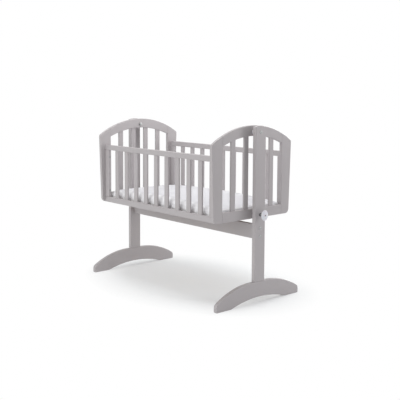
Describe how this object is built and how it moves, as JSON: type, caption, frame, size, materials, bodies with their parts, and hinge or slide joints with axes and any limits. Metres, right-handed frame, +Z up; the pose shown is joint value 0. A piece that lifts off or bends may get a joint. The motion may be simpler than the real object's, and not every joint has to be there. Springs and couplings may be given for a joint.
{
  "type": "swinging cradle on stand",
  "caption": "Slatted wooden cradle that hangs between two posts on pivot bolts and swings sideways, with a push-pull locking pin, a mattress, a stretcher and arched feet.",
  "frame": {"origin": "on the floor, in the middle of the overall box", "axes": "+X along the cradle towards the post with the locking pin, +Y across it, +Z up"},
  "size_m": [1.0844, 0.574, 0.8759],
  "materials": {
    "painted_wood": "satin grey paint over solid wood, edges rounded",
    "zinc_plate": "bright zinc-plated steel",
    "steel": "plain turned steel",
    "white_nylon": "white moulded nylon, soft sheen",
    "black_nylon": "black moulded nylon",
    "beech": "fluted beech dowel, unpainted",
    "pine": "planed pine, unpainted",
    "hardboard": "smooth brown hardboard",
    "white_cotton": "white cotton cover over foam"
  },
  "bodies": {
    "stand": {"post_left": "painted_wood", "post_right": "painted_wood", "foot_left": "painted_wood", "foot_right": "painted_wood", "stretcher": "painted_wood", "stretcher_bolts": "zinc_plate", "stretcher_barrel_nuts": "steel", "foot_screws": "steel", "foot_dowels": "beech", "pivot_bolts": "zinc_plate", "pivot_spacers": "white_nylon", "pivot_washers": "steel", "pivot_cap_nuts": "zinc_plate", "lock_bush": "black_nylon"},
    "cradle": {"left_end_front_stile": "painted_wood", "left_end_rear_stile": "painted_wood", "left_end_arch_rail": "painted_wood", "left_end_bottom_rail": "painted_wood", "right_end_front_stile": "painted_wood", "right_end_rear_stile": "painted_wood", "right_end_arch_rail": "painted_wood", "right_end_bottom_rail": "painted_wood", "left_end_slat_1": "painted_wood", "left_end_slat_2": "painted_wood", "left_end_slat_3": "painted_wood", "left_end_slat_4": "painted_wood", "right_end_slat_1": "painted_wood", "right_end_slat_2": "painted_wood", "right_end_slat_3": "painted_wood", "right_end_slat_4": "painted_wood", "end_panel_dowels": "beech", "front_top_rail": "painted_wood", "front_bottom_rail": "painted_wood", "front_left_stile": "painted_wood", "front_right_stile": "painted_wood", "front_slats": "painted_wood", "rear_top_rail": "painted_wood", "rear_bottom_rail": "painted_wood", "rear_left_stile": "painted_wood", "rear_right_stile": "painted_wood", "rear_slats": "painted_wood", "side_panel_dowels": "beech", "corner_bolts": "zinc_plate", "corner_inserts": "steel", "pivot_bushes": "white_nylon", "lock_eyelet": "black_nylon", "batten_front": "pine", "batten_rear": "pine", "batten_screws": "zinc_plate", "base_board": "hardboard", "mattress": "white_cotton"},
    "lock": {"lock_pin": "steel", "lock_stop_ring": "steel", "lock_knob": "white_nylon"}
  },
  "joints": [
    {"name": "cradle_swing", "type": "hinge", "parent": "stand", "child": "cradle", "pos_m": [0, 0, 0.844], "axis": [1, 0, 0], "range_deg": [-17, 17]},
    {"name": "lock_slide", "type": "slide", "parent": "stand", "child": "lock", "axis": [-1, 0, 0], "range_m": [0, 0.0125]}
  ]
}
